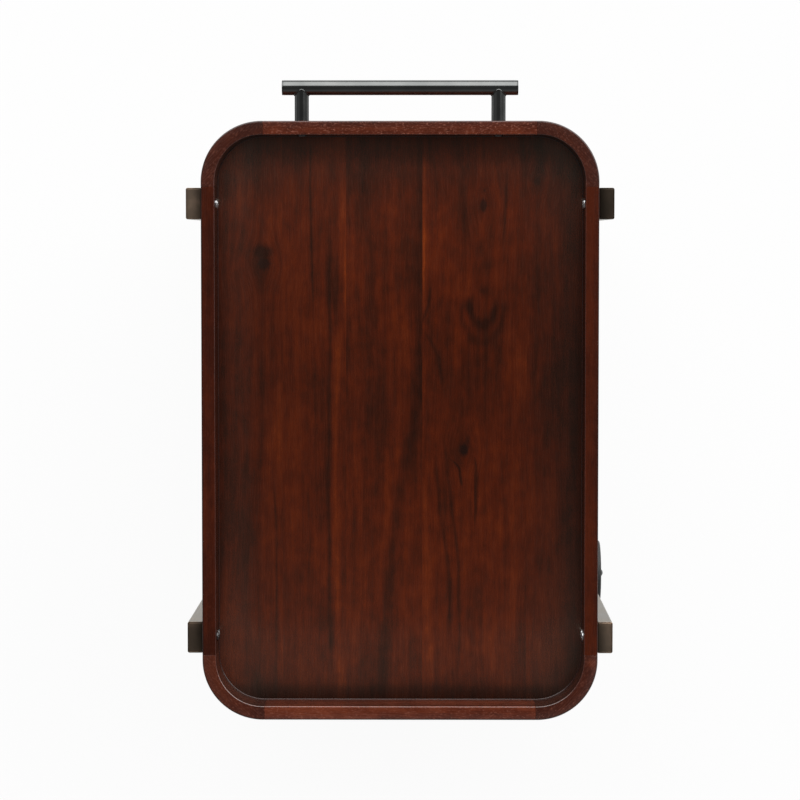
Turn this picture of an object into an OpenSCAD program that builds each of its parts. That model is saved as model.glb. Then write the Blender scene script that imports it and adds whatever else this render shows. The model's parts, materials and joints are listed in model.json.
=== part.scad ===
// Bar cart: two wooden trays between four steel legs, with a pair of wheels on an axle at
// one end and a pull handle at the other, where the cart is lifted to be wheeled away.
// Lengths are in millimetres. The origin is on the floor, in the middle of the outline.
// X runs across the cart, Y along it towards the handle, and Z up.

/* [Trays] */
// Outside width of each tray, across the cart
tray_w = 504; // [440:1:560]
// Outside length of each tray, along the cart
tray_l = 762; // [640:1:860]
// Height of the top tray's rim above the floor
top_rim_z = 838; // [740:1:900]
// Height of the lower tray's rim above the floor
lower_rim_z = 255; // [215:1:360]
// Thickness of the wooden walls
wall_t = 17.5; // [15:0.5:22]
// Outside radius of the walls' round corners
corner_r = 77; // [55:1:90]
// Straight stretch of a corner block along the side of its tray
corner_tail = 6; // [4:1:20]
// Straight stretch of a corner block along the end of its tray
end_tail = 2; // [1:1:12]
// Rounding along the walls' long edges
edge_r = 2; // [1:0.5:3.5]

/* [Panels] */
// Depth of a tray from its rim down to the panel
tray_depth = 56; // [50:1:75]
// Thickness of the panel
panel_t = 12; // [9:0.5:18]
// Wall left below the panel
lip = 8; // [6:1:20]
// How far the panel reaches into the walls
tongue = 8; // [5:0.5:9]
// Room at the bottom of the groove for the panel to swell
groove_gap = 0.3; // [0.2:0.1:0.8]
// Widths of the panel's five boards, left to right, in proportion
board_shares = [91.5, 82, 98.5, 135, 80]; // [60:0.5:160]

/* [Corner joints] */
// Thickness of the loose tongue in each joint between a rail and a corner block
key_t = 4; // [3:0.5:5]
// Length of the loose tongue, half of it in each piece
key_l = 18; // [12:1:24]
// Wood left above and below the loose tongue
key_edge = 10; // [8:1:16]
// Glue gap round the loose tongue
glue_gap = 0.1; // [0.05:0.05:0.2]

/* [Legs] */
// Width of a leg, along the cart
leg_w = 40; // [30:1:50]
// Depth of a leg, across the cart
leg_d = 20; // [18:1:30]
// Wall of the leg's steel tube
leg_wall = 1.5; // [1:0.1:2.5]
// Rounding of the tube's corners
leg_round = 2.5; // [2:0.5:4]
// From a corner block's seam to the leg beside it
leg_from_seam = 1; // [0:1:60]
// From the top tray's rim down to the top of the legs
leg_drop = 15; // [6:1:18]
// Thickness of the plate welded inside the top of each leg
cap_t = 2; // [1.5:0.5:3]
// How far the legs at the wheel end reach below the axle
leg_below_axle = 23; // [16:1:30]
// Clearance round what is fitted inside a leg
tube_fit = 0.1; // [0.05:0.05:0.2]

/* [Glides and plugs] */
// Height of the glide under each leg at the handle end
glide_h = 6; // [4:1:12]
// Height of the glide's narrower sole
sole_h = 2; // [1:0.5:3]
// How far the sole is set in from the glide's sides
sole_inset = 1.5; // [1:0.5:3]
// Thickness of the plug's flange under each leg at the wheel end
plug_flange = 2.5; // [1.5:0.5:4]
// How far glides and plugs reach up into the tube
plug_in = 16; // [10:1:20]
// Wall of the hollow part inside the tube
plug_wall = 2.5; // [2:0.5:4]

/* [Screws] */
// Diameter of the machine screws
screw_d = 6; // [5:0.5:8]
// Diameter of their flat heads
head_d = 13; // [12:0.5:15]
// Thickness of their heads
head_t = 1.5; // [1.5:0.5:3.5]
// Rounding of the heads' rim
head_round = 0.8; // [0.4:0.1:1.2]
// Hexagon socket across its flats
socket_af = 4; // [3:0.5:5]
// Depth of the hexagon socket
socket_deep = 1.2; // [0.8:0.1:1.4]
// Clearance round a screw in wood or sheet steel
screw_room = 0.3; // [0.2:0.1:0.6]
// Clearance round a screw in its nut
thread_gap = 0.05; // [0.03:0.01:0.1]
// Height of the weld nuts inside the legs
nut_t = 5; // [4:0.5:6]
// Weld nut across its flats, beyond the screw's diameter
nut_extra = 4; // [3:0.5:5]
// Least room between a screw and the leg's cap, and between its head and the panel
screw_edge = 3; // [2:0.5:4]

/* [Handle] */
// Diameter of the handle's bar
bar_d = 19; // [16:0.5:25]
// Length of the bar over its end caps
bar_l = 300; // [240:1:350]
// Wall of the bar's tube
bar_wall = 1.5; // [1:0.1:2.5]
// Thickness of the bar's end caps
bar_cap_t = 1.5; // [1:0.5:3]
// How far the end caps reach into the bar
bar_cap_in = 8; // [5:1:12]
// Diameter of the handle's posts
post_d = 18; // [14:0.5:22]
// How far the bar runs past the middle of each post
bar_overhang = 25; // [18:1:60]
// From the tray's end to the middle of the bar
bar_out = 43; // [34:1:60]
// From the tray's rim down to the middle of the bar
bar_drop = 28; // [20:1:36]
// Depth of the screw hole in a post
post_hole = 20; // [16:1:22]

/* [Wheels] */
// Diameter of the wheels
wheel_d = 102; // [76:1:127]
// Width of the wheels
wheel_w = 28; // [24:1:36]
// Rounding of the tyres' shoulders
tyre_round = 4; // [2:0.5:6]
// Thickness of the tyres
tyre_t = 8; // [6:0.5:10]
// Height of the ring on the rim that holds the tyre in place
rim_key_h = 2; // [1:0.5:3]
// Width of that ring
rim_key_w = 12; // [8:1:16]
// Thickness of the hub's rim
hub_rim_t = 5; // [4:0.5:7]
// Thickness of the web between the hub's boss and its rim
web_t = 5; // [4:0.5:8]
// Number of ribs on each side of the web
ribs = 6; // [4:1:10]
// Thickness of the ribs
rib_t = 3; // [2:0.5:4]
// How far the ribs stand back from the rim's sides
rib_back = 4; // [3:0.5:6]
// Diameter of the hub's boss
boss_d = 27; // [24:1:32]
// How far the boss stands back from the wheel's outer side
boss_back = 9; // [6:0.5:9]
// Gap beside a part that turns
run_gap = 0.3; // [0.2:0.1:0.5]

/* [Axle] */
// Diameter of the axle
axle_d = 10; // [8:0.5:12]
// From the middle of the axle to the back of the legs that it passes through
axle_edge = 12; // [11:0.5:20]
// Radial clearance of what turns or slides on the axle
axle_gap = 0.05; // [0.02:0.01:0.1]
// Wall of the sleeves on the axle
sleeve_wall = 2; // [1.5:0.5:3]
// Clearance round a sleeve in its hole
sleeve_fit = 0.05; // [0.03:0.01:0.1]
// Diameter of the flange of the bush in each leg
bush_flange_d = 18; // [16:1:24]
// Thickness of that flange
bush_flange_t = 2; // [1:0.5:3]
// Diameter of the washer between leg and wheel
leg_washer_d = 19; // [18:1:26]
// Thickness of that washer
leg_washer_t = 3; // [2:0.5:5]
// Diameter of the washer under a cap nut
nut_washer_d = 20; // [18:1:24]
// Thickness of that washer
nut_washer_t = 1.5; // [1:0.5:2]
// Height of a cap nut
cap_nut_h = 12.5; // [10:0.5:14]
// Height of the cap nut's hexagon
cap_nut_hex_h = 5; // [4:0.5:6]
// Cap nut across its flats, beyond the axle's diameter
cap_nut_extra = 6; // [5:0.5:8]
// Wall of the cap nut's dome
dome_wall = 2; // [1.8:0.1:2.5]

/* [Hidden] */
$fn = 64;
// Extra length of a cut past a face
over = 1;
// Room between a plug's shank and the bush above it
shank_room = 2;

// Walls and panels
groove_d = tongue + groove_gap;
wall_h = tray_depth + panel_t + lip;
seam_in = corner_r + corner_tail;
end_seam_in = corner_r + end_tail;
panel_w = tray_w - 2 * (wall_t - tongue);
panel_l = tray_l - 2 * (wall_t - tongue);
panel_r = corner_r - wall_t + tongue;
share_sum = board_shares * [for (s = board_shares) 1];
key_x = (wall_t - groove_d - key_t) / 2;

// The trays' middle lies behind the origin, because the handle belongs to the outline
tray_y = -(bar_out + bar_d / 2) / 2;

// Legs
leg_x = (tray_w + leg_d) / 2;
leg_out_x = tray_w / 2 + leg_d;
leg_y = tray_l / 2 - seam_in - leg_from_seam - leg_w / 2;
leg_top_z = top_rim_z - leg_drop;

// Screws through the walls into the legs: the upper one clears the leg's cap, and the
// lower one's head clears the panel
nut_af = screw_d + nut_extra;
nut_r = nut_af / 2 / cos(30);
screw_depths = [leg_drop + cap_t + screw_edge + nut_r, tray_depth - screw_edge - head_d / 2];
leg_screw_l = wall_t + leg_wall + nut_t + 1;
post_x = bar_l / 2 - bar_overhang;
post_screw_l = wall_t + post_hole - 1;

// The axle's line, and the stations along it from the cart's middle outwards
axle_y = leg_y + leg_w / 2 - axle_edge;
axle_z = wheel_d / 2;
wheel_in_x = leg_out_x + leg_washer_t + run_gap;
boss_l = wheel_w - boss_back;
nut_washer_x = wheel_in_x + boss_l + run_gap;
cap_nut_x = nut_washer_x + nut_washer_t;
dome_r = axle_d / 2 + dome_wall;
cap_nut_bore = cap_nut_h - dome_r + sqrt(pow(dome_r, 2) - pow(dome_r - 1, 2));
axle_end_x = cap_nut_x + cap_nut_bore - run_gap;
hub_r = wheel_d / 2 - tyre_t;
sleeve_r = axle_d / 2 + axle_gap + sleeve_wall;

rail_colour = [0.33, 0.16, 0.11];
panel_colour = [0.27, 0.11, 0.07];
key_colour = [0.72, 0.56, 0.38];
leg_colour = [0.26, 0.23, 0.20];
black_colour = [0.10, 0.10, 0.10];
zinc_colour = [0.75, 0.76, 0.78];
nylon_colour = [0.85, 0.84, 0.80];

// Sides and ends: 1 is right or the handle end, -1 is left or the wheel end
LEFT = -1;
RIGHT = 1;
HANDLE_END = 1;
WHEEL_END = -1;

// Puts what is modelled about the trays' middle where it belongs on the cart
module on_cart() {
    translate([0, tray_y, 0]) children();
}

// What is modelled for the right side, on either side
module on_side(side) {
    mirror([side < 0 ? 1 : 0, 0, 0]) children();
}

// What is modelled for the handle end, at either end
module at_end(end) {
    mirror([0, end < 0 ? 1 : 0, 0]) children();
}

// A cylinder along X, from x0 to x1
module rod_x(x0, x1, r) {
    translate([x0, 0, 0]) rotate([0, 90, 0]) cylinder(r = r, h = x1 - x0);
}

// A ring along X, from x0 to x1
module ring_x(x0, x1, r, bore_r) {
    difference() {
        rod_x(x0, x1, r);
        rod_x(x0 - over, x1 + over, bore_r);
    }
}

// What a round edge takes off a square corner at p, whose sides run towards dir
module edge_waste(p, dir, r) {
    translate(p) mirror([dir[0] < 0 ? 1 : 0, 0]) mirror([0, dir[1] < 0 ? 1 : 0]) {
        difference() {
            translate([-over, -over]) square(r + over);
            translate([r, r]) circle(r);
        }
    }
}

// A rectangle with round corners, its middle at the origin
module round_rect(w, l, r) {
    difference() {
        square([w, l], center = true);
        for (sx = [-1, 1]) {
            for (sy = [-1, 1]) {
                edge_waste([sx * w / 2, sy * l / 2], [-sx, -sy], r);
            }
        }
    }
}

// Cross-section of a tray's wall, outer face at x = 0, foot at y = 0, groove inside
module wall_section() {
    difference() {
        square([wall_t, wall_h]);
        translate([wall_t - groove_d, lip]) square([groove_d + over, panel_t]);
        edge_waste([0, 0], [1, 1], edge_r);
        edge_waste([wall_t, 0], [-1, 1], edge_r);
        edge_waste([0, wall_h], [1, -1], edge_r);
        edge_waste([wall_t, wall_h], [-1, -1], edge_r);
    }
}

// A straight stretch of wall from y = 0 to y = l, its outer face on x = 0, facing -X
module wall_run(l) {
    translate([0, l, 0]) rotate([90, 0, 0]) linear_extrude(l) wall_section();
}

// Slot for a loose tongue across the seam at y = 0, in a wall whose outer face is x = 0
module key_slot() {
    translate([key_x - glue_gap, -key_l / 2 - glue_gap, key_edge - glue_gap]) {
        cube([key_t + 2 * glue_gap, key_l + 2 * glue_gap, wall_h - 2 * key_edge + 2 * glue_gap]);
    }
}

// The loose tongue in that slot
module corner_key() {
    translate([key_x, -key_l / 2, key_edge]) cube([key_t, key_l, wall_h - 2 * key_edge]);
}

// A rail of length l with a slot at each end, its outer face on x = 0, its foot at z = 0
module rail(l) {
    difference() {
        wall_run(l);
        key_slot();
        translate([0, l, 0]) key_slot();
    }
}

// Clearance holes for the two screws of a leg, through a wall whose outer face is x = 0
module leg_screw_holes(rim_z, y) {
    for (depth = screw_depths) {
        translate([0, y, rim_z - depth]) rod_x(-over, wall_t + over, screw_d / 2 + screw_room);
    }
}

// Left rail, with the screw holes for both of its legs; the right one mirrors it
module side_rail(rim_z, side) {
    rail_l = tray_l - 2 * seam_in;
    color(rail_colour) on_cart() on_side(-side) translate([-tray_w / 2, 0, 0]) {
        difference() {
            translate([0, -rail_l / 2, rim_z - wall_h]) rail(rail_l);
            for (end = [WHEEL_END, HANDLE_END]) {
                leg_screw_holes(rim_z, end * leg_y);
            }
        }
    }
}

// Rail across the cart at either end; the one behind the handle has its screw holes
module end_rail(rim_z, end, has_handle) {
    rail_l = tray_w - 2 * end_seam_in;
    color(rail_colour) on_cart() at_end(end) translate([0, tray_l / 2, 0]) {
        difference() {
            translate([-rail_l / 2, 0, rim_z - wall_h]) rotate([0, 0, -90]) rail(rail_l);
            if (has_handle) {
                for (side = [LEFT, RIGHT]) {
                    translate([side * post_x, over, rim_z - bar_drop]) rotate([90, 0, 0]) {
                        cylinder(r = screw_d / 2 + screw_room, h = wall_t + 2 * over);
                    }
                }
            }
        }
    }
}

// Quarter-round corner block with its two short straight tails
module corner_block(rim_z, side, end) {
    color(rail_colour) on_cart() on_side(side) at_end(end) {
        translate([tray_w / 2 - corner_r, tray_l / 2 - corner_r, rim_z - wall_h]) {
            difference() {
                union() {
                    rotate_extrude(angle = 90) translate([corner_r, 0]) mirror([1, 0]) wall_section();
                    translate([corner_r, -corner_tail, 0]) mirror([1, 0, 0]) wall_run(corner_tail);
                    translate([-end_tail, corner_r, 0]) rotate([0, 0, -90]) wall_run(end_tail);
                }
                translate([corner_r, -corner_tail, 0]) mirror([1, 0, 0]) key_slot();
                translate([-end_tail, corner_r, 0]) rotate([0, 0, -90]) key_slot();
            }
        }
    }
}

// The eight loose tongues of one tray
module corner_keys(rim_z) {
    color(key_colour) on_cart() {
        for (side = [LEFT, RIGHT]) {
            for (end = [WHEEL_END, HANDLE_END]) {
                on_side(side) at_end(end) translate([0, 0, rim_z - wall_h]) {
                    translate([tray_w / 2, tray_l / 2 - seam_in, 0]) mirror([1, 0, 0]) corner_key();
                    translate([tray_w / 2 - end_seam_in, tray_l / 2, 0]) rotate([0, 0, -90]) corner_key();
                }
            }
        }
    }
}

// Width of the first n boards
function boards_w(n) = n == 0 ? 0 : boards_w(n - 1) + panel_w * board_shares[n - 1] / share_sum;

// Board n of a panel, counted from the left; the outer boards carry the round corners
module board(rim_z, n) {
    x0 = boards_w(n - 1) - panel_w / 2;
    board_w = boards_w(n) - boards_w(n - 1);
    color(panel_colour) on_cart() translate([0, 0, rim_z - tray_depth - panel_t]) {
        intersection() {
            linear_extrude(panel_t) round_rect(panel_w, panel_l, panel_r);
            translate([x0, -panel_l / 2 - over, -over]) {
                cube([board_w, panel_l + 2 * over, panel_t + 2 * over]);
            }
        }
    }
}

// Outline of a leg, or of what fits inside it when inset is the tube's wall and more
module leg_outline(inset = 0) {
    round_rect(leg_d - 2 * inset, leg_w - 2 * inset, max(leg_round - inset, 0.5));
}

// A leg on the right at the handle end, from z0 up to the legs' tops
module leg_tube(z0) {
    difference() {
        translate([leg_x, leg_y, z0]) linear_extrude(leg_top_z - z0) {
            difference() {
                leg_outline();
                leg_outline(leg_wall);
            }
        }
        for (rim_z = [top_rim_z, lower_rim_z]) {
            for (depth = screw_depths) {
                translate([tray_w / 2, leg_y, rim_z - depth]) {
                    rod_x(-over, leg_wall + over, screw_d / 2 + screw_room);
                }
            }
        }
    }
}

// Leg that stands on a glide
module leg_handle(side) {
    color(leg_colour) on_cart() on_side(side) leg_tube(glide_h);
}

// Leg that the axle passes through
module leg_wheel(side) {
    color(leg_colour) on_cart() on_side(side) at_end(WHEEL_END) {
        difference() {
            leg_tube(axle_z - leg_below_axle);
            translate([0, axle_y, axle_z]) rod_x(tray_w / 2 - over, leg_out_x + over, sleeve_r + sleeve_fit);
        }
    }
}

// The plates welded flush inside the tops of the four legs
module leg_caps() {
    color(leg_colour) on_cart() {
        for (side = [LEFT, RIGHT]) {
            for (end = [WHEEL_END, HANDLE_END]) {
                translate([side * leg_x, end * leg_y, leg_top_z - cap_t]) {
                    linear_extrude(cap_t) leg_outline(leg_wall + tube_fit);
                }
            }
        }
    }
}

// Hollow shank of a glide or plug inside the tube, from z = 0 up to h
module tube_shank(h) {
    linear_extrude(h) {
        difference() {
            leg_outline(leg_wall + tube_fit);
            leg_outline(leg_wall + tube_fit + plug_wall);
        }
    }
}

// Glide under a leg at the handle end
module glide(side) {
    color(black_colour) on_cart() on_side(side) translate([leg_x, leg_y, 0]) {
        linear_extrude(sole_h) leg_outline(sole_inset);
        translate([0, 0, sole_h]) linear_extrude(glide_h - sole_h) leg_outline();
        translate([0, 0, glide_h]) tube_shank(plug_in);
    }
}

// Plug in the foot of a leg at the wheel end
module leg_plug(side) {
    color(black_colour) on_cart() on_side(side) at_end(WHEEL_END) {
        translate([leg_x, leg_y, axle_z - leg_below_axle]) {
            translate([0, 0, -plug_flange]) linear_extrude(plug_flange) leg_outline();
            tube_shank(min(plug_in, leg_below_axle - sleeve_r - shank_room));
        }
    }
}

// Machine screw with a wide flat head: the head's seat is z = 0 and the shank runs up
module screw(l) {
    difference() {
        union() {
            cylinder(d = screw_d, h = l);
            translate([0, 0, -head_t]) rotate_extrude() {
                difference() {
                    square([head_d / 2, head_t]);
                    edge_waste([head_d / 2, 0], [-1, 1], head_round);
                }
            }
        }
        translate([0, 0, -head_t - over]) {
            cylinder(d = socket_af / cos(30), h = socket_deep + over, $fn = 6);
        }
    }
}

// The eight screws that hold the legs to one tray, put in from inside the tray
module leg_screws(rim_z) {
    color(zinc_colour) on_cart() {
        for (side = [LEFT, RIGHT]) {
            for (end = [WHEEL_END, HANDLE_END]) {
                for (depth = screw_depths) {
                    on_side(side) translate([tray_w / 2 - wall_t, end * leg_y, rim_z - depth]) {
                        rotate([0, 90, 0]) screw(leg_screw_l);
                    }
                }
            }
        }
    }
}

// The eight nuts welded inside the legs for one tray
module leg_nuts(rim_z) {
    hole_r = screw_d / 2 + thread_gap;
    color(zinc_colour) on_cart() {
        for (side = [LEFT, RIGHT]) {
            for (end = [WHEEL_END, HANDLE_END]) {
                for (depth = screw_depths) {
                    on_side(side) translate([tray_w / 2 + leg_wall, end * leg_y, rim_z - depth]) {
                        rotate([0, 90, 0]) difference() {
                            cylinder(r = nut_r, h = nut_t, $fn = 6);
                            translate([0, 0, -over]) cylinder(r = hole_r, h = nut_t + 2 * over);
                        }
                    }
                }
            }
        }
    }
}

// Moves the handle's pieces from the bar's middle to their place on the cart
module at_bar() {
    on_cart() translate([0, tray_l / 2 + bar_out, top_rim_z - bar_drop]) children();
}

// Tube of the handle's bar
module handle_bar() {
    tube_l = bar_l - 2 * bar_cap_t;
    color(black_colour) at_bar() ring_x(-tube_l / 2, tube_l / 2, bar_d / 2, bar_d / 2 - bar_wall);
}

// Caps in both ends of the bar
module handle_bar_caps() {
    seat_x = bar_l / 2 - bar_cap_t;
    color(black_colour) at_bar() {
        for (side = [LEFT, RIGHT]) {
            on_side(side) {
                rod_x(seat_x, bar_l / 2, bar_d / 2);
                rod_x(seat_x - bar_cap_in, seat_x, bar_d / 2 - bar_wall - tube_fit);
            }
        }
    }
}

// Post between tray and bar, hollowed at one end to the bar's curve and drilled at the other
module handle_post(side) {
    color(black_colour) at_bar() {
        difference() {
            translate([side * post_x, 0, 0]) rotate([90, 0, 0]) {
                difference() {
                    cylinder(d = post_d, h = bar_out);
                    translate([0, 0, bar_out - post_hole]) {
                        cylinder(r = screw_d / 2 + thread_gap, h = post_hole + over);
                    }
                }
            }
            rod_x(-bar_l / 2, bar_l / 2, bar_d / 2 + thread_gap);
        }
    }
}

// The screws that hold the posts, put in from inside the top tray
module handle_screws() {
    color(zinc_colour) on_cart() {
        for (side = [LEFT, RIGHT]) {
            translate([side * post_x, tray_l / 2 - wall_t, top_rim_z - bar_drop]) {
                rotate([-90, 0, 0]) screw(post_screw_l);
            }
        }
    }
}

// Moves what turns about the axle's line to its place on the right; the left mirrors it
module at_axle(side) {
    on_cart() on_side(side) translate([0, -axle_y, axle_z]) children();
}

// Steel axle through both legs and both wheels
module axle() {
    color(zinc_colour) at_axle(RIGHT) rod_x(-axle_end_x, axle_end_x, axle_d / 2);
}

// Flanged bush that carries the axle in a leg, its flange on the inner side
module axle_bush(side) {
    color(nylon_colour) at_axle(side) {
        difference() {
            union() {
                rod_x(tray_w / 2, leg_out_x, sleeve_r);
                rod_x(tray_w / 2 - bush_flange_t, tray_w / 2, bush_flange_d / 2);
            }
            rod_x(tray_w / 2 - bush_flange_t - over, leg_out_x + over, axle_d / 2 + axle_gap);
        }
    }
}

// Washers between the legs and the wheels
module leg_washers() {
    color(zinc_colour) {
        for (side = [LEFT, RIGHT]) {
            at_axle(side) {
                ring_x(leg_out_x, leg_out_x + leg_washer_t, leg_washer_d / 2, axle_d / 2 + axle_gap);
            }
        }
    }
}

// Outline of the hub's rim in half section, from its inner radius out, with the tyre's key
module hub_rim_section(gap = 0) {
    translate([hub_r - hub_rim_t, 0]) square([hub_rim_t + gap, wheel_w]);
    translate([hub_r - over, (wheel_w - rim_key_w) / 2 - gap]) {
        square([rim_key_h + over + gap, rim_key_w + 2 * gap]);
    }
}

// Moulded hub: boss, web, ribs and rim
module wheel_hub(side) {
    rib_in = boss_d / 2 - over;
    color(black_colour) at_axle(side) translate([wheel_in_x, 0, 0]) rotate([0, 90, 0]) {
        difference() {
            union() {
                rotate_extrude() hub_rim_section();
                translate([0, 0, (wheel_w - web_t) / 2]) cylinder(r = hub_r - over, h = web_t);
                cylinder(d = boss_d, h = boss_l);
                for (k = [0:ribs - 1]) {
                    rotate([0, 0, k * 360 / ribs]) translate([rib_in, -rib_t / 2, rib_back]) {
                        cube([hub_r - over - rib_in, rib_t, wheel_w - 2 * rib_back]);
                    }
                }
            }
            translate([0, 0, -over]) cylinder(r = sleeve_r + sleeve_fit, h = wheel_w + 2 * over);
        }
    }
}

// Sleeve pressed into a hub, which runs on the axle
module hub_sleeve(side) {
    color(nylon_colour) at_axle(side) {
        ring_x(wheel_in_x, wheel_in_x + boss_l, sleeve_r, axle_d / 2 + axle_gap);
    }
}

// Rubber tyre with round shoulders, over the rim and its key
module tyre(side) {
    color(black_colour) at_axle(side) translate([wheel_in_x, 0, 0]) rotate([0, 90, 0]) {
        rotate_extrude() {
            difference() {
                translate([hub_r - over, 0]) square([tyre_t + over, wheel_w]);
                hub_rim_section(sleeve_fit);
                edge_waste([wheel_d / 2, 0], [-1, 1], tyre_round);
                edge_waste([wheel_d / 2, wheel_w], [-1, -1], tyre_round);
            }
        }
    }
}

// Washers under the cap nuts
module nut_washers() {
    color(black_colour) {
        for (side = [LEFT, RIGHT]) {
            at_axle(side) ring_x(nut_washer_x, cap_nut_x, nut_washer_d / 2, axle_d / 2 + axle_gap);
        }
    }
}

// Domed cap nut on an end of the axle
module cap_nut(side) {
    hex_r = (axle_d + cap_nut_extra) / 2 / cos(30);
    color(black_colour) at_axle(side) translate([cap_nut_x, 0, 0]) rotate([0, 90, 0]) {
        difference() {
            union() {
                cylinder(r = hex_r, h = cap_nut_hex_h, $fn = 6);
                cylinder(r = dome_r, h = cap_nut_h - dome_r);
                translate([0, 0, cap_nut_h - dome_r]) intersection() {
                    sphere(dome_r);
                    cylinder(r = dome_r + over, h = dome_r + over);
                }
            }
            translate([0, 0, -over]) cylinder(r = axle_d / 2 + axle_gap, h = cap_nut_bore + over);
        }
    }
}

end_rail(top_rim_z, HANDLE_END, true);  // top_rail_handle_end
end_rail(top_rim_z, WHEEL_END, false);  // top_rail_wheel_end
side_rail(top_rim_z, LEFT);  // top_rail_left
side_rail(top_rim_z, RIGHT);  // top_rail_right
corner_block(top_rim_z, LEFT, HANDLE_END);  // top_corner_handle_left
corner_block(top_rim_z, RIGHT, HANDLE_END);  // top_corner_handle_right
corner_block(top_rim_z, LEFT, WHEEL_END);  // top_corner_wheel_left
corner_block(top_rim_z, RIGHT, WHEEL_END);  // top_corner_wheel_right
board(top_rim_z, 1);  // top_board_1
board(top_rim_z, 2);  // top_board_2
board(top_rim_z, 3);  // top_board_3
board(top_rim_z, 4);  // top_board_4
board(top_rim_z, 5);  // top_board_5
corner_keys(top_rim_z);  // top_corner_keys
end_rail(lower_rim_z, HANDLE_END, false);  // lower_rail_handle_end
end_rail(lower_rim_z, WHEEL_END, false);  // lower_rail_wheel_end
side_rail(lower_rim_z, LEFT);  // lower_rail_left
side_rail(lower_rim_z, RIGHT);  // lower_rail_right
corner_block(lower_rim_z, LEFT, HANDLE_END);  // lower_corner_handle_left
corner_block(lower_rim_z, RIGHT, HANDLE_END);  // lower_corner_handle_right
corner_block(lower_rim_z, LEFT, WHEEL_END);  // lower_corner_wheel_left
corner_block(lower_rim_z, RIGHT, WHEEL_END);  // lower_corner_wheel_right
board(lower_rim_z, 1);  // lower_board_1
board(lower_rim_z, 2);  // lower_board_2
board(lower_rim_z, 3);  // lower_board_3
board(lower_rim_z, 4);  // lower_board_4
board(lower_rim_z, 5);  // lower_board_5
corner_keys(lower_rim_z);  // lower_corner_keys
leg_handle(LEFT);  // leg_handle_left
leg_handle(RIGHT);  // leg_handle_right
leg_wheel(LEFT);  // leg_wheel_left
leg_wheel(RIGHT);  // leg_wheel_right
leg_caps();
glide(LEFT);  // glide_left
glide(RIGHT);  // glide_right
leg_plug(LEFT);  // leg_plug_left
leg_plug(RIGHT);  // leg_plug_right
leg_screws(top_rim_z);  // top_leg_screws
leg_screws(lower_rim_z);  // lower_leg_screws
leg_nuts(top_rim_z);  // top_leg_nuts
leg_nuts(lower_rim_z);  // lower_leg_nuts
handle_bar();
handle_post(LEFT);  // handle_post_left
handle_post(RIGHT);  // handle_post_right
handle_bar_caps();
handle_screws();
axle();
axle_bush(LEFT);  // axle_bush_left
axle_bush(RIGHT);  // axle_bush_right
leg_washers();
wheel_hub(LEFT);  // wheel_hub_left
wheel_hub(RIGHT);  // wheel_hub_right
hub_sleeve(LEFT);  // hub_sleeve_left
hub_sleeve(RIGHT);  // hub_sleeve_right
tyre(LEFT);  // tyre_left
tyre(RIGHT);  // tyre_right
nut_washers();
cap_nut(LEFT);  // cap_nut_left
cap_nut(RIGHT);  // cap_nut_right
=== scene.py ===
"""Bar cart: the finish of its trays, legs, handle and wheels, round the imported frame.

Lengths are in metres in the frame's own axes: X across the cart, Y along it towards the
handle, Z up from the floor. Sizes and places come from the frame's boxes wherever it has them.
"""

import json
import math

import bmesh
import bpy
import numpy as np
from mathutils import Matrix, Vector

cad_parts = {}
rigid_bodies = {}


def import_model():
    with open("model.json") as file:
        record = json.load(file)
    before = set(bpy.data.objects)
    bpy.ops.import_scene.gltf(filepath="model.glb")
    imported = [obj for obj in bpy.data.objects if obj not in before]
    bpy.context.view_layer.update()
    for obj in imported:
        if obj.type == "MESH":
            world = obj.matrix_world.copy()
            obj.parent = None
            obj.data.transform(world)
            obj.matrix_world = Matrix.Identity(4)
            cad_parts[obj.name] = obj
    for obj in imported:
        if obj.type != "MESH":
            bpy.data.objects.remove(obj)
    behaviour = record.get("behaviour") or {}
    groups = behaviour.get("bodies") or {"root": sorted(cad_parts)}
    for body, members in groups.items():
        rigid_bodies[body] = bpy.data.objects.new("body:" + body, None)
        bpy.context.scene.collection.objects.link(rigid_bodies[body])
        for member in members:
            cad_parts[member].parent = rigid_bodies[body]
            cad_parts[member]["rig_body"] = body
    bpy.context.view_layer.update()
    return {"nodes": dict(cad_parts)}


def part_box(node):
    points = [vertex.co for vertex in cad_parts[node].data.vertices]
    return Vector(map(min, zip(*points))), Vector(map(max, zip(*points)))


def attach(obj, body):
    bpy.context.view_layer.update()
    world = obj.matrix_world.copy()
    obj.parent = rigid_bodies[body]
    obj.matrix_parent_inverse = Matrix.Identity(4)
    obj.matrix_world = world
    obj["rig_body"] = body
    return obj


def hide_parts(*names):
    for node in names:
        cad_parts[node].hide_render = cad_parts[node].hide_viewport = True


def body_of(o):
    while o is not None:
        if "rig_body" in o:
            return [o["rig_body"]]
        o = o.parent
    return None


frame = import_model()
NODES = frame["nodes"]
TRAYS = ("top", "lower")
SIDES = {"left": -1, "right": 1}
ENDS = {"wheel": -1, "handle": 1}
MM = 0.001

# The camera, fitted to the photograph's tray, legs and handle
IMAGE_PX = 800
FOCAL_PX = 2809.6
SENSOR_MM = 36.0
CAMERA_AT = Vector((0.0290, 0.2046, 4.3953))
CAMERA_AIM = Vector((0.0001, 0.0020, 0.838))

# Light: the softbox's strength, its bearing in degrees to the right of the handle's, how squarely
# a direction faces it at its edge and well inside, and how high it reaches, as the z of a
# direction; then the fill from overhead and from lower down, and the heights between them
SOFTBOX = 3.3
SOFTBOX_BEARING = 15.0
SOFTBOX_EDGE = (0.30, 0.70)
SOFTBOX_TOP = (0.93, 0.80)
FILL_ABOVE = 0.14
FILL_LOW = 0.26
FILL_HEIGHTS = (0.97, 0.70)

# The floor: half its side, its shade, and the share of plain white in what the camera sees
FLOOR_HALF = 8.0
FLOOR_SHADE = 0.85
FLOOR_GLOW = 0.93

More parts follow.
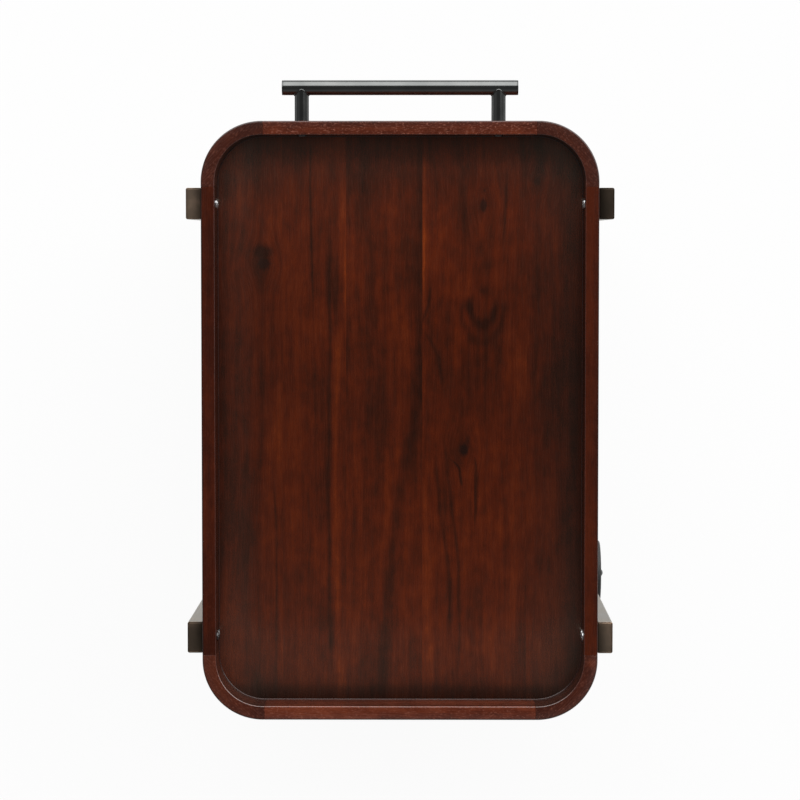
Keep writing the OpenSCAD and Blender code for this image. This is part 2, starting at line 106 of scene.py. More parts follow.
# Sizes that the frame's boxes don't give: the straight tails of a corner block along the side
# and along the end, the rounding of the wall's edges and of its rubbed inner one, the panel's
# groove, and the gap that shows at a seam
CORNER_TAIL = 6 * MM
END_TAIL = 2 * MM
EDGE_R = 2 * MM
ARRIS_R = 1.2 * MM
GROOVE_D = 8.3 * MM
SEAM_INSET = 0.25 * MM
# Walls of the tubes, the rounding of the leg's corners and of the tubes' ends, and the foot of
# a post: how far in from its side and up along it
LEG_WALL = 1.5 * MM
LEG_ROUND = 2.5 * MM
LEG_LIP = 0.35 * MM
BAR_WALL = 1.5 * MM
BAR_LIP = 0.3 * MM
POST_FOOT = ((0.5 * MM, 0), (0.15 * MM, 0.15 * MM), (0, 0.5 * MM))
# The weld's bead: its radius, the height of its ripples and their number round a post
BEAD_R = 1.1 * MM
RIPPLE_H = 0.1 * MM
RIPPLES = 36
# The tyre's thickness, its play on the hub, the rounding of its shoulders, and how deep its
# sides are recessed and its tread is grooved
TYRE_DEPTH = 8 * MM
TYRE_PLAY = 0.05 * MM
TYRE_ROUND = 4 * MM
TYRE_RECESS = 0.5 * MM
TREAD_GROOVE = 0.6 * MM
# The fillet of lacquer round the panel, and how far it sinks into panel and wall
FILLET_R = 0.9 * MM
FILLET_SINK = 0.2 * MM
# Steps round the handle's bar and posts, a weld's bead, a tyre, a corner block's quarter circle
# and a quarter circle of the lacquer's outline
RING = 72
BEAD_RING = 10
TYRE_RING = 120
BLOCK_STEPS = 32
LACQUER_STEPS = 24
# Degrees between two faces: above SHARP their edge stays sharp, above BEVELLED it gets a bevel,
# and below FLAT the faces become one; points nearer than SAME_POINT become one too
SHARP = 38
BEVELLED = 40
FLAT = 0.5
SAME_POINT = 0.001 * MM


def size_of(node):
    """The three sides of a CAD node's box."""
    low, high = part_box(node)
    return high - low


def middle_of(node):
    """The middle of a CAD node's box."""
    low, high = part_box(node)
    return (low + high) / 2


# Sizes from the boxes: the wall's thickness and height, the panel's thickness and how much of
# the wall lies under it, the tray's outline and its middle, and how far in the sides' seams are
WALL_T = size_of("top_rail_left").x
WALL_H = size_of("top_rail_left").z
PANEL_T = size_of("top_board_3").z
UNDER_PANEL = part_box("top_board_3")[0].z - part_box("top_rail_left")[0].z
CORNER_R = size_of("top_corner_handle_right").x - END_TAIL
TRAY_W = 2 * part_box("top_rail_right")[1].x
TRAY_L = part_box("top_rail_handle_end")[1].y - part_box("top_rail_wheel_end")[0].y
TRAY_Y = (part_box("top_rail_handle_end")[1].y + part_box("top_rail_wheel_end")[0].y) / 2
SEAM_IN = CORNER_R + CORNER_TAIL
FOOT_Z = {tray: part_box(f"{tray}_rail_left")[0].z for tray in TRAYS}
LEG_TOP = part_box("leg_handle_left")[1].z


# Node trees

# Highest result of a curve, whose node itself holds 0 to 1
CURVE_TOP = 4.0


def linear(red, green, blue):
    """A colour as a screen shows it, 0 to 255, in the linear values that shaders take."""
    def one(value):
        value /= 255
        return value / 12.92 if value <= 0.04045 else ((value + 0.055) / 1.055) ** 2.4

    return (one(red), one(green), one(blue), 1.0)


def grey(value):
    """The grey of a linear value, with alpha."""
    return (value, value, value, 1)


class Graph:
    """A node tree, written as nested calls that return sockets."""

    def __init__(self, tree):
        self.tree = tree

    def node(self, kind, settings=None, **inputs):
        """Adds a node. Inputs go by socket name, with _ for a space, or by i and an index."""
        made = self.tree.nodes.new("ShaderNode" + kind)
        for name, value in (settings or {}).items():
            setattr(made, name, value)
        for name, value in inputs.items():
            by_index = name[0] == "i" and name[1:].isdigit()
            socket = made.inputs[int(name[1:]) if by_index else name.replace("_", " ")]
            self.feed(socket, value)
        return made

    def feed(self, socket, value):
        if isinstance(value, bpy.types.NodeSocket):
            self.tree.links.new(value, socket)
        else:
            socket.default_value = value

    def math(self, how, a, b=0.0, c=0.0):
        return self.node("Math", {"operation": how}, i0=a, i1=b, i2=c).outputs[0]

    def add(self, *values):
        total = values[0]
        for value in values[1:]:
            total = self.math("ADD", total, value)
        return total

    def times(self, a, b):
        return self.math("MULTIPLY", a, b)

    def square(self, value):
        return self.math("POWER", value, 2.0)

    def scaled(self, value, by, plus=0.0):
        return self.math("MULTIPLY_ADD", value, by, plus)

    def bell(self, value):
        """exp(-value), which is 1 at 0 and falls off on both sides of a squared distance."""
        return self.math("EXPONENT", self.scaled(value, -1.0))

    def fade(self, value, start, end, low=0.0, high=1.0):
        """Smooth step from low, where value is start, to high, where it is end."""
        if start > end:
            start, end, low, high = end, start, high, low
        made = self.node("MapRange", {"interpolation_type": "SMOOTHSTEP"}, Value=value,
                         From_Min=start, From_Max=end, To_Min=low, To_Max=high)
        return made.outputs[0]

    def split(self, vector):
        return self.node("SeparateXYZ", Vector=vector).outputs

    def join(self, x, y, z=0.0):
        return self.node("CombineXYZ", X=x, Y=y, Z=z).outputs[0]

    def noise(self, vector, scale=1.0, detail=2.0, rough=0.5):
        """Noise from 0 to 1, about 0.5 on average."""
        made = self.node("TexNoise", Vector=vector, Scale=scale, Detail=detail, Roughness=rough)
        return made.outputs["Fac"]

    def ramp(self, value, *stops):
        """Colour ramp through (place, colour) stops."""
        made = self.node("ValToRGB", Fac=value)
        elements = made.color_ramp.elements
        while len(elements) < len(stops):
            elements.new(0.5)
        for element, (place, colour) in zip(elements, stops):
            element.position = place
            element.color = colour
        return made.outputs[0]

    def curve(self, value, *points):
        """Smooth curve through (value, result) points, in rising order and under CURVE_TOP."""
        start, end = points[0][0], points[-1][0]
        run = end - start
        made = self.node("FloatCurve", Value=self.scaled(value, 1 / run, -start / run))
        bends = made.mapping.curves[0].points
        for at, result in points[1:-1]:
            bends.new((at - start) / run, result / CURVE_TOP)
        bends[0].location = (0.0, points[0][1] / CURVE_TOP)
        bends[len(bends) - 1].location = (1.0, points[-1][1] / CURVE_TOP)
        made.mapping.update()
        return self.scaled(made.outputs[0], CURVE_TOP)

    def blend(self, share, a, b):
        return self.node("Mix", {"data_type": "RGBA"}, i0=share, i6=a, i7=b).outputs[2]

    def dim(self, colour, by):
        """A colour times a number."""
        return self.node("VectorMath", {"operation": "SCALE"}, i0=colour, i3=by).outputs[0]

    def bump(self, height, distance, strength=1.0, under=None):
        made = self.node("Bump", Height=height, Distance=distance, Strength=strength)
        if under is not None:
            self.feed(made.inputs["Normal"], under)
        return made.outputs[0]


class Finish(Graph):
    """A material with one Principled surface."""

    def __init__(self, name):
        self.material = bpy.data.materials.new(name)
        self.material.use_nodes = True
        super().__init__(self.material.node_tree)
        self.surface = self.tree.nodes["Principled BSDF"]

    def place(self, turn=0.0):
        """Place on the object as x, y and z, turned about Z by an angle in degrees."""
        coords = self.node("TexCoord").outputs["Object"]
        if turn:
            angle = (0, 0, math.radians(turn))
            coords = self.node("Mapping", Vector=coords, Rotation=angle).outputs[0]
        return self.split(coords)

    def set(self, **inputs):
        for name, value in inputs.items():
            self.feed(self.surface.inputs[name.replace("_", " ")], value)
        return self.material


# Wood

PANEL_STAIN = ((0.10, linear(38, 11, 4)), (0.32, linear(55, 17, 5)), (0.52, linear(72, 22, 5)),
               (0.74, linear(88, 30, 6)), (0.94, linear(110, 43, 9)))
SIDE_RAIL_STAIN = ((0.18, linear(42, 13, 4)), (0.5, linear(55, 18, 6)), (0.82, linear(70, 25, 8)))
END_RAIL_STAIN = ((0.18, linear(56, 19, 7)), (0.5, linear(84, 34, 18)),
                  (0.82, linear(108, 50, 29)))
CORNER_STAIN = ((0.18, linear(44, 16, 9)), (0.5, linear(62, 25, 14)), (0.82, linear(84, 37, 20)))
KNOT_CORE = linear(30, 11, 7)
PORE = linear(30, 14, 9)
FLECK = linear(140, 86, 70)
# Slow noises that bend the grain: cells per metre across and along it, and their whole reach
WANDER = (5.0, 2.2, 20 * MM)
WAVER = (26.0, 9.0, 6 * MM)
# Seeds that make each board, each kind of wall and each tray differ
BOARD_SEED = 17.3
WALL_SEED = 7.7
LOWER_BOARD_SEED = 91
LOWER_WALL_SEED = 53


class Wood(Finish):
    """Solid stained wood under satin lacquer.

    Its figure is a value that varies fast across the grain and slowly along it: the sum of
    broad bands, streaks and fibres, each a noise whose place is stretched along the grain, and
    of mottling. Knots push the grain aside, and streaks drawn one by one add to the value.
    """

    def __init__(self, name, seed, turn=0.0):
        super().__init__(name)
        self.seed = seed
        self.here = self.place()
        x, self.along, self.depth = self.place(turn) if turn else self.here
        self.x = self.add(x, self.bend(x, WAVER, seed + 9))
        self.across = self.add(self.x, self.bend(x, WANDER, seed))
        self.drawn = 0.0
        self.dark = 0.0

    def bend(self, x, how, seed):
        """Noise about zero with so many cells per metre and so long a reach."""
        across, along, reach = how
        where = self.join(self.scaled(x, across), self.scaled(self.along, along), seed)
        return self.scaled(self.noise(where, detail=1.0), reach, -reach / 2)

    def grain(self, across, along, detail, rough=0.55, offset=0.0):
        """Noise that follows the grain, with so many cells per metre across and along it."""
        where = self.join(self.scaled(self.across, across), self.scaled(self.along, along),
                          self.scaled(self.depth, across, self.seed + offset))
        return self.noise(where, detail=detail, rough=rough)

    def cells(self, across, along, offset):
        """Mottling: noise with so many cells per metre, whatever the grain does."""
        return self.noise(self.join(self.scaled(self.x, across), self.scaled(self.along, along),
                                    self.seed + offset))

    def draw(self, mask, strength):
        """Adds to the figure, as light or dark stain, where the mask is not 0."""
        self.drawn = self.add(self.drawn, self.scaled(mask, strength))

    def oval(self, x, y, half_w, half_l):
        """(dx / half_w)^2 + (dy / half_l)^2 from the point (x, y)."""
        return self.add(self.square(self.scaled(self.x, 1 / half_w, -x / half_w)),
                        self.square(self.scaled(self.along, 1 / half_l, -y / half_l)))

    def hill(self, x, y, half_w, half_l):
        """1 at (x, y), falling off as a bell in both directions."""
        return self.bell(self.oval(x, y, half_w, half_l))

    def patch(self, x, y, half_w, half_l, strength):
        """A soft oval area that is lighter or darker."""
        self.draw(self.hill(x, y, half_w, half_l), strength)

    def knot(self, x, y, half_w, half_l, depth=1.0):
        """A knot: the grain flows round it, its core is dark and the wood beside it darker."""
        push = self.hill(x, y, 2.8 * half_w, 2.6 * half_l)
        self.across = self.add(self.across, self.times(self.scaled(self.x, -0.8, 0.8 * x), push))
        grit = self.noise(self.join(self.x, self.along, self.seed + 5), scale=300.0)
        core = self.add(self.hill(x, y, half_w, half_l), self.scaled(grit, 0.4, -0.2))
        self.dark = self.math("MAXIMUM", self.dark, self.fade(core, 0.3, 0.85, 0.0, depth))
        self.patch(x, y, 1.9 * half_w, 1.9 * half_l, -0.16 * depth)

    def band(self, line, half_w, strength, ends=0.03):
        """A streak along a bent line of (x, y) points, from its top down, with soft ends."""
        low, high = line[-1][1], line[0][1]
        # The line's x goes through the curve with 1 added, because a curve holds no less than 0
        centre = self.curve(self.along, *((y, x + 1) for x, y in reversed(line)))
        off = self.scaled(self.add(self.x, 1.0, self.scaled(centre, -1.0)), 1 / half_w)
        inside = self.times(self.fade(self.along, low - ends, low + ends),
                            self.fade(self.along, high + ends, high - ends))
        self.draw(self.times(self.bell(self.square(off)), inside), strength)

    def bow(self, x, y, half_w, half_l, strength, thick=0.16):
        """The lower half of an oval ring in the grain."""
        off = self.scaled(self.math("SQRT", self.oval(x, y, half_w, half_l)), 1 / thick, -1 / thick)
        below = self.fade(self.along, y + 0.1 * half_l, y - 0.5 * half_l)
        self.draw(self.times(self.bell(self.square(off)), below), strength)

    def inward(self):
        """Distance in from the tray's outline, a rectangle with round corners: the radius less
        the distance to the rectangle that the corners' centres span."""
        off_x = self.add(self.math("ABSOLUTE", self.here[0]), CORNER_R - TRAY_W / 2)
        from_middle = self.math("ABSOLUTE", self.add(self.here[1], -TRAY_Y))
        off_y = self.add(from_middle, CORNER_R - TRAY_L / 2)
        out_x, out_y = self.math("MAXIMUM", off_x, 0.0), self.math("MAXIMUM", off_y, 0.0)
        corner = self.math("SQRT", self.add(self.times(out_x, out_x), self.times(out_y, out_y)))
        inside = self.math("MINIMUM", self.math("MAXIMUM", off_x, off_y), 0.0)
        return self.scaled(self.add(corner, inside), -1.0, CORNER_R)

    def stain(self, stops, tone=0.0, contrast=1.0, streaks=1.0, flecks=0.0, pores=0.2,
              rough=0.22, gloss=0.2, shade=None, sheen=1.0):
        """Colour, roughness and relief from the figure; the last call on a wood.

        Tone shifts the figure and contrast spreads it, streaks weighs what follows the grain
        against the mottling, flecks and pores are the shares of pale dashes and dark pores,
        gloss and shade may vary by place, and sheen below 1 warms the gloss.
        """
        fibres = self.grain(640.0, 30.0, 3.0, 0.72, 2.0)
        lengthwise = ((self.grain(24.0, 2.0, 2.0), 0.75),
                      (self.grain(120.0, 6.0, 3.0, 0.62, 1.0), 0.66), (fibres, 0.22))
        mottled = ((self.cells(18.0, 9.0, 7), 0.50), (self.cells(90.0, 55.0, 8), 0.40),
                   (self.noise(self.join(self.x, self.along, self.seed + 6), scale=430.0), 0.16))
        parts = [(part, share * streaks * contrast) for part, share in lengthwise]
        parts += [(part, share * contrast) for part, share in mottled]
        figure = self.add(*(self.scaled(part, share, -share / 2) for part, share in parts))
        figure = self.add(figure, 0.5 + tone, self.drawn)
        colour = self.ramp(figure, *stops)
        pore = self.fade(self.grain(950.0, 45.0, 1.0, 0.5, 3.0), 0.60, 0.72)
        colour = self.blend(self.times(pore, pores), colour, PORE)
        relief = self.add(fibres, self.scaled(pore, -1.2))
        if flecks:
            dash = self.fade(self.grain(760.0, 330.0, 2.0, 0.6, 4.0), 0.55, 0.68)
            colour = self.blend(self.times(dash, flecks), colour, FLECK)
            relief = self.add(relief, self.scaled(dash, 1.5))
        if not isinstance(self.dark, float):
            colour = self.blend(self.dark, colour, KNOT_CORE)
        if shade is not None:
            colour = self.dim(colour, shade)
        flow = self.noise(self.join(self.x, self.along, self.depth), scale=20.0, detail=1.0)
        lacquer = self.bump(flow, 0.3 * MM, 0.2)
        return self.set(Base_Color=colour, Specular_IOR_Level=gloss,
                        Roughness=self.fade(fibres, 0.3, 0.7, rough, rough + 0.08),
                        Normal=self.bump(relief, 0.05 * MM, 0.5, lacquer),
                        Specular_Tint=(1.0, 0.85 + 0.15 * sheen, sheen, 1))


def plain_board(tray, number):
    """A board of a panel before anything is drawn in it."""
    seed = BOARD_SEED * number + (0 if tray == "top" else LOWER_BOARD_SEED)
    return Wood(f"{tray}_board_{number}_wood", seed)


def panel_painted_shade_and_gloss(wood):
    """Shade and gloss of a panel by place. It is darker along the walls, and painted lighter
    towards the handle's end, painted light that thins the top wall's shadow there; the lacquer
    shines more towards the panel's ends and sides."""
    x, y = wood.here[:2]
    # Darker at the wheels' wall; from y 0.2 on, painted light that lifts the handle wall's shadow
    shade_y = wood.curve(y, (-0.39, 0.2), (-0.38, 0.25), (-0.365, 0.7), (-0.34, 0.92), (-0.2, 0.95),
                         (0.1, 0.92), (0.2, 1.2), (0.285, 1.5), (0.305, 1.85), (0.34, 1.1))
    shade_x = wood.curve(x, (-0.235, 0.5), (-0.215, 1.0), (-0.19, 0.9), (-0.11, 1.0), (0.06, 1.02),
                         (0.16, 0.97), (0.21, 0.78), (0.235, 0.5))
    gloss_y = wood.curve(y, (-0.39, 1.2), (-0.37, 3.0), (-0.35, 3.5), (-0.27, 2.1), (-0.15, 1.4),
                         (0.0, 1.25), (0.15, 1.35), (0.27, 2.1), (0.31, 2.8), (0.34, 2.2))
    gloss_x = wood.curve(x, (-0.235, 1.0), (-0.21, 1.6), (-0.18, 1.1), (-0.06, 0.9), (0.14, 0.85),
                         (0.2, 1.25), (0.225, 1.5), (0.235, 1.1))
    gloss = wood.math("MINIMUM", wood.times(gloss_y, gloss_x), 3.8)
    return wood.times(shade_y, shade_x), wood.scaled(gloss, 0.286)


# The panel's figure. Points and half sizes are in metres, in the cart's own X and Y, a streak
# goes by the points of its middle, and a strength below 0 is darker.

def draw_board_1(wood):
    """The left board: a broad dark knot towards the handle, and thin streaks."""
    wood.knot(-0.1750, 0.1745, 0.0102, 0.0108, 0.85)
    wood.patch(-0.1755, 0.1900, 0.0130, 0.0065, -0.42)
    wood.band(((-0.128, 0.34), (-0.126, 0.22), (-0.124, 0.10), (-0.127, -0.02)), 0.0016, -0.18)
    wood.band(((-0.133, 0.24), (-0.131, 0.16), (-0.133, 0.05)), 0.0012, -0.14)
    wood.patch(-0.125, 0.10, 0.012, 0.18, 0.08)
    wood.band(((-0.162, -0.12), (-0.160, -0.20), (-0.161, -0.36)), 0.0016, -0.20)
    wood.band(((-0.134, -0.07), (-0.133, -0.22), (-0.134, -0.34)), 0.0014, -0.18)
    wood.patch(-0.150, 0.04, 0.012, 0.16, 0.12)
    wood.patch(-0.155, -0.02, 0.006, 0.05, 0.10)
    wood.patch(-0.220, -0.05, 0.022, 0.22, -0.12)


def draw_board_2(wood):
    """The second board: long dark and light streaks side by side."""
    wood.band(((-0.1145, 0.33), (-0.1145, 0.24), (-0.112, 0.13)), 0.0014, -0.26)
    wood.band(((-0.085, 0.31), (-0.083, 0.20), (-0.082, 0.10)), 0.0060, -0.24)
    wood.band(((-0.090, 0.20), (-0.091, 0.05), (-0.0925, -0.12), (-0.092, -0.20), (-0.089, -0.34)),
              0.0030, -0.28)
    wood.band(((-0.0665, 0.20), (-0.067, 0.10), (-0.069, 0.00)), 0.0035, 0.10)
    wood.band(((-0.079, 0.10), (-0.081, 0.00), (-0.082, -0.20), (-0.079, -0.37)), 0.0040, 0.20)


def draw_board_3(wood):
    """The middle board: one dark streak that slants across it."""
    wood.band(((0.024, 0.34), (0.024, 0.10), (0.020, -0.03), (0.006, -0.084), (-0.0107, -0.212),
               (-0.0171, -0.276), (-0.0235, -0.370)), 0.0080, -0.26)
    wood.patch(-0.040, 0.10, 0.016, 0.30, -0.04)
    wood.patch(0.016, 0.02, 0.010, 0.05, -0.08)
    wood.patch(-0.039, -0.28, 0.030, 0.10, -0.12)
    wood.patch(-0.010, 0.27, 0.050, 0.05, -0.08)


def draw_board_4(wood):
    """The widest board: a knot with a pin knot above it, another one lower down with two dark
    tails, the grain's bow between them, and streaks."""
    wood.knot(0.1072, 0.2490, 0.0066, 0.0110, 0.85)
    wood.knot(0.1080, 0.2680, 0.0018, 0.0024, 0.6)
    wood.knot(0.0812, -0.0655, 0.0078, 0.0105, 1.0)
    wood.patch(0.0866, -0.0530, 0.0035, 0.0070, -0.30)
    wood.band(((0.066, -0.079), (0.075, -0.088), (0.0775, -0.100), (0.080, -0.112)),
              0.0018, -0.34, 0.005)
    wood.band(((0.0965, -0.078), (0.0985, -0.092), (0.098, -0.118), (0.0985, -0.148)),
              0.0016, -0.30, 0.008)
    wood.bow(0.106, 0.132, 0.0180, 0.0360, -0.40, 0.22)
    wood.bow(0.106, 0.132, 0.0280, 0.0600, -0.18, 0.12)
    wood.patch(0.107, 0.139, 0.0060, 0.0060, -0.20)
    wood.patch(0.0885, 0.122, 0.0060, 0.0120, -0.26)
    wood.band(((0.0315, 0.32), (0.030, 0.25), (0.0305, 0.13)), 0.0022, 0.20)
    wood.band(((0.040, 0.145), (0.036, 0.122), (0.029, 0.100)), 0.0020, -0.24, 0.01)
    wood.band(((0.033, 0.085), (0.046, 0.060), (0.054, 0.020)), 0.0028, -0.16, 0.01)
    wood.band(((0.036, -0.08), (0.032, -0.20), (0.034, -0.37)), 0.0100, 0.20)
    wood.band(((0.044, -0.08), (0.053, -0.15), (0.0635, -0.235), (0.064, -0.30)), 0.0028, -0.22)
    wood.band(((0.056, -0.06), (0.064, -0.12), (0.074, -0.20), (0.076, -0.34)), 0.0022, -0.20)
    wood.band(((0.0965, -0.09), (0.0965, -0.13), (0.0968, -0.16)), 0.0010, -0.26, 0.01)
    wood.band(((0.136, 0.29), (0.134, 0.25), (0.133, 0.21)), 0.0022, -0.26)
    wood.patch(0.150, -0.235, 0.012, 0.030, 0.14)
    wood.patch(0.110, -0.32, 0.030, 0.06, 0.12)
    wood.patch(0.118, 0.05, 0.020, 0.10, -0.10)
    wood.patch(0.155, 0.05, 0.010, 0.25, -0.08)
    wood.patch(0.075, -0.10, 0.020, 0.07, -0.06)


def draw_board_5(wood):
    """The right board: a faint knot and light streaks towards the handle."""
    wood.knot(0.1765, 0.2800, 0.0060, 0.0070, 0.45)
    wood.band(((0.191, 0.315), (0.187, 0.27), (0.185, 0.22)), 0.0050, 0.20)
    wood.band(((0.196, 0.26), (0.197, 0.22), (0.199, 0.17)), 0.0030, 0.12)
    wood.patch(0.206, -0.02, 0.026, 0.20, -0.06)
    wood.patch(0.165, 0.05, 0.008, 0.20, 0.10)


# What is drawn in each board of the top panel, from the left, and the board's tone
TOP_BOARDS = ((draw_board_1, 0.02), (draw_board_2, 0.03), (draw_board_3, 0.0),
              (draw_board_4, 0.0), (draw_board_5, 0.0))


def top_board(number):
    """A board of the top panel, with the knots and streaks that show in it."""
    wood = plain_board("top", number)
    draw, tone = TOP_BOARDS[number - 1]
    draw(wood)
    # Painted light towards the handle's end, darker wood along the walls, and gloss by place
    shade, gloss = panel_painted_shade_and_gloss(wood)
    return wood.stain(PANEL_STAIN, tone, 1.08, 0.85, gloss=gloss, shade=shade, sheen=0.8)


def lower_board(number):
    """A board of the lower panel: the same timber, its knots elsewhere."""
    wood = plain_board("lower", number)
    if number == 2:
        wood.knot(-0.105, -0.150, 0.0050, 0.0090, 0.8)
    if number == 4:
        wood.knot(0.070, 0.130, 0.0060, 0.0100, 0.9)
    return wood.stain(PANEL_STAIN, 0.03 - 0.02 * (number % 3))


def wall_painted_shade_and_gloss(wood, tray, gloss, gloss_out):
    """Shade and gloss of a tray's wall. The inner face is painted darker, most below the rim and
    above the panel, as painted shade, and the inner edge of the top carries a thin painted
    highlight and is rubbed to a higher gloss; the outer edge of the top is darker, and the gloss
    of the top changes from its inner to its outer edge."""
    inward = wood.inward()
    depth = wood.scaled(wood.here[2], -1.0, FOOT_Z[tray] + WALL_H)
    # Painted shade down the inner face, and a painted highlight on its rounded top edge
    inner = wood.curve(depth, (0, 1.0), (0.5 * MM, 1.2), (1.5 * MM, 0.8), (3 * MM, 0.4),
                       (9 * MM, 0.5), (15 * MM, 0.64), (44 * MM, 0.62), (50 * MM, 0.45),
                       (60 * MM, 0.45))
    near_inner = wood.fade(inward, WALL_T - 4 * MM, WALL_T - 2 * MM)
    on_top = wood.fade(depth, 4 * MM, 2 * MM)
    edge = wood.times(wood.fade(inward, 2.8 * MM, 0.5 * MM), on_top)
    shade = wood.times(wood.scaled(near_inner, wood.add(inner, -1.0), 1.0),
                       wood.scaled(edge, -0.42, 1.0))
    rubbed = wood.times(wood.fade(depth, 0.0, 0.1 * MM), wood.fade(depth, 1.2 * MM, 0.7 * MM))
    extra = wood.fade(inward, 1 * MM, WALL_T - 5 * MM, gloss_out - gloss, 0.0)
    shine = wood.scaled(wood.times(rubbed, near_inner), 0.8, gloss)
    return shade, wood.add(wood.times(extra, on_top), shine)


def side_rail_wood(name, seed, tray, right):
    """Dark rail along a side; the right one is redder, with a darker line along it."""
    wood = Wood(name, seed)
    # The rail's painted shade and highlight, and its gloss
    shade, gloss = wall_painted_shade_and_gloss(wood, tray, 0.2, 0.25)
    if right:
        wood.band(((0.2490, 0.31), (0.2490, 0.0), (0.2490, -0.31)), 0.0030, -0.16)
    return wood.stain(SIDE_RAIL_STAIN, 0.2 if right else 0.0, 1.4, 0.7, 0.05, 0.3,
                      gloss=gloss, shade=shade)


def end_rail_wood(name, seed, tray, handle_end):
    """Lighter rail across an end, with pale flecks, most of them at the handle."""
    wood = Wood(name, seed, 90.0)
    # The rail's painted shade and highlight, and its gloss
    shade, gloss = wall_painted_shade_and_gloss(wood, tray, 0.25, 0.5 if handle_end else 0.9)
    return wood.stain(END_RAIL_STAIN, 0.0, 1.35, 0.85, 0.7 if handle_end else 0.42, 0.3,
                      rough=0.24, gloss=gloss, shade=shade)


def corner_wood(name, seed, tray, end, side):
    """Corner block with its grain along its chord; one has an orange patch near its seam."""
    degrees = -45.0 * SIDES[side] * ENDS[end]
    wood = Wood(name, seed + 3 * SIDES[side], degrees)
    by_wheel = end == "wheel" and side == "right"
    # The block's painted shade and highlight, and its gloss
    shade, gloss = wall_painted_shade_and_gloss(wood, tray, 0.3, 0.9 if by_wheel else 0.5)
    if by_wheel:
        x, y, turn = 0.2460, -0.3350, math.radians(degrees)
        along_x = x * math.cos(turn) - y * math.sin(turn)
        along_y = x * math.sin(turn) + y * math.cos(turn)
        wood.patch(along_x, along_y, 0.006, 0.006, 0.5)
    return wood.stain(CORNER_STAIN, 0.0, 1.1, 0.3, 0.3, 0.25, rough=0.24, gloss=gloss, shade=shade)


def wall_wood(tray, place):
    """The wood of a rail or corner block, by its place in the tray."""
    seed = WALL_SEED * len(place) + (0 if tray == "top" else LOWER_WALL_SEED)
    name = f"{tray}_{place}_wood"
    kind, *where = place.split("_")
    if kind == "corner":
        return corner_wood(name, seed, tray, *where)
    if where[-1] == "end":
        return end_rail_wood(name, seed, tray, where[0] == "handle")
    return side_rail_wood(name, seed, tray, where[0] == "right")


# Metals, plastics and the rest

BRONZE = ((0.34, (0.110, 0.090, 0.055, 1)), (0.55, (0.145, 0.117, 0.072, 1)),
          (0.72, (0.235, 0.165, 0.095, 1)))
RUBBED_BRONZE = ((0.34, (0.27, 0.205, 0.150, 1)), (0.55, (0.35, 0.255, 0.185, 1)),
                 (0.72, (0.55, 0.38, 0.27, 1)))
BLACK_NICKEL = ((0.35, (0.110, 0.114, 0.112, 1)), (0.7, (0.145, 0.148, 0.145, 1)))
BRIGHT_ZINC = ((0.3, (0.52, 0.53, 0.55, 1)), (0.7, (0.72, 0.72, 0.72, 1)))
BARE_WOOD = ((0.3, linear(176, 140, 98)), (0.7, linear(205, 172, 128)))


def leg_finish():
    """Dark bronze plate, brushed up the leg, with cloudy warm patches; the tops are rubbed to a
    warmer brown, with a painted shadow on them beside the tray."""
    s = Finish("leg_bronze_plate")
    x, y, z = s.place()
    cloud = s.noise(s.join(x, y, z), scale=22.0, detail=3.0, rough=0.6)
    brushed = s.noise(s.join(s.scaled(x, 900.0), s.scaled(y, 900.0), s.scaled(z, 14.0)))
    # A painted shadow on the tops beside the tray
    tray_painted_shadow = s.fade(s.math("ABSOLUTE", x), TRAY_W / 2 + 1 * MM, TRAY_W / 2 + 15 * MM, 0.45, 1.0)
    # The tops at the handle's right and at the wheels' left have kept more of their dark plate
    kept = s.times(s.fade(s.times(x, y), -0.01, 0.01), s.fade(y, -0.1, 0.1, 0.45, 0.65))
    # The tops' rubbed bronze, darkened by the painted shadow beside the tray
    rubbed = s.dim(s.ramp(cloud, *RUBBED_BRONZE), s.times(tray_painted_shadow, s.scaled(kept, -1.0, 1.0)))
    on_top = s.fade(z, LEG_TOP - 4 * MM, LEG_TOP - 1 * MM)
    return s.set(Base_Color=s.blend(on_top, s.ramp(cloud, *BRONZE), rubbed), Metallic=1.0,
                 Roughness=s.add(s.scaled(brushed, 0.12, 0.26), s.scaled(cloud, 0.12, -0.06)),
                 Normal=s.bump(brushed, 0.04 * MM, 0.4))


def handle_finish(name, rim):
    """Black nickel, lightly worn, with so much of its colour where it turns edge on."""
    s = Finish(name)
    where = s.join(*s.place())
    cloud = s.noise(where, scale=30.0, detail=3.0)
    fine = s.noise(where, scale=900.0)
    return s.set(Base_Color=s.ramp(cloud, *BLACK_NICKEL), Metallic=1.0,
                 Roughness=s.add(s.scaled(fine, 0.08, 0.10), s.scaled(cloud, 0.08, -0.04)),
                 Normal=s.bump(fine, 0.02 * MM, 0.3), Specular_Tint=grey(rim))


def zinc_finish(name, shaded_screws=False):
    """Bright zinc plate with a fine spangle, painted darker on some of the screws as painted shade.
    """
    s = Finish(name)
    x, y, z = s.place()
    spangle = s.noise(s.join(x, y, z), scale=260.0, detail=3.0)
    colour = s.ramp(spangle, *BRIGHT_ZINC)
    if shaded_screws:
        # Painted shade: the screws at the left of the wheels' end and at the handle are darker
        wheel_left = s.times(s.fade(y, -0.10, -0.20), s.fade(x, 0.10, -0.10))
        screw_shade = s.math("MAXIMUM", wheel_left, s.fade(y, 0.30, 0.32))
        colour = s.dim(colour, s.scaled(screw_shade, -0.78, 1.0))
    return s.set(Base_Color=colour, Metallic=1.0, Roughness=s.scaled(spangle, 0.2, 0.18),
                 Normal=s.bump(spangle, 0.04 * MM, 0.4))


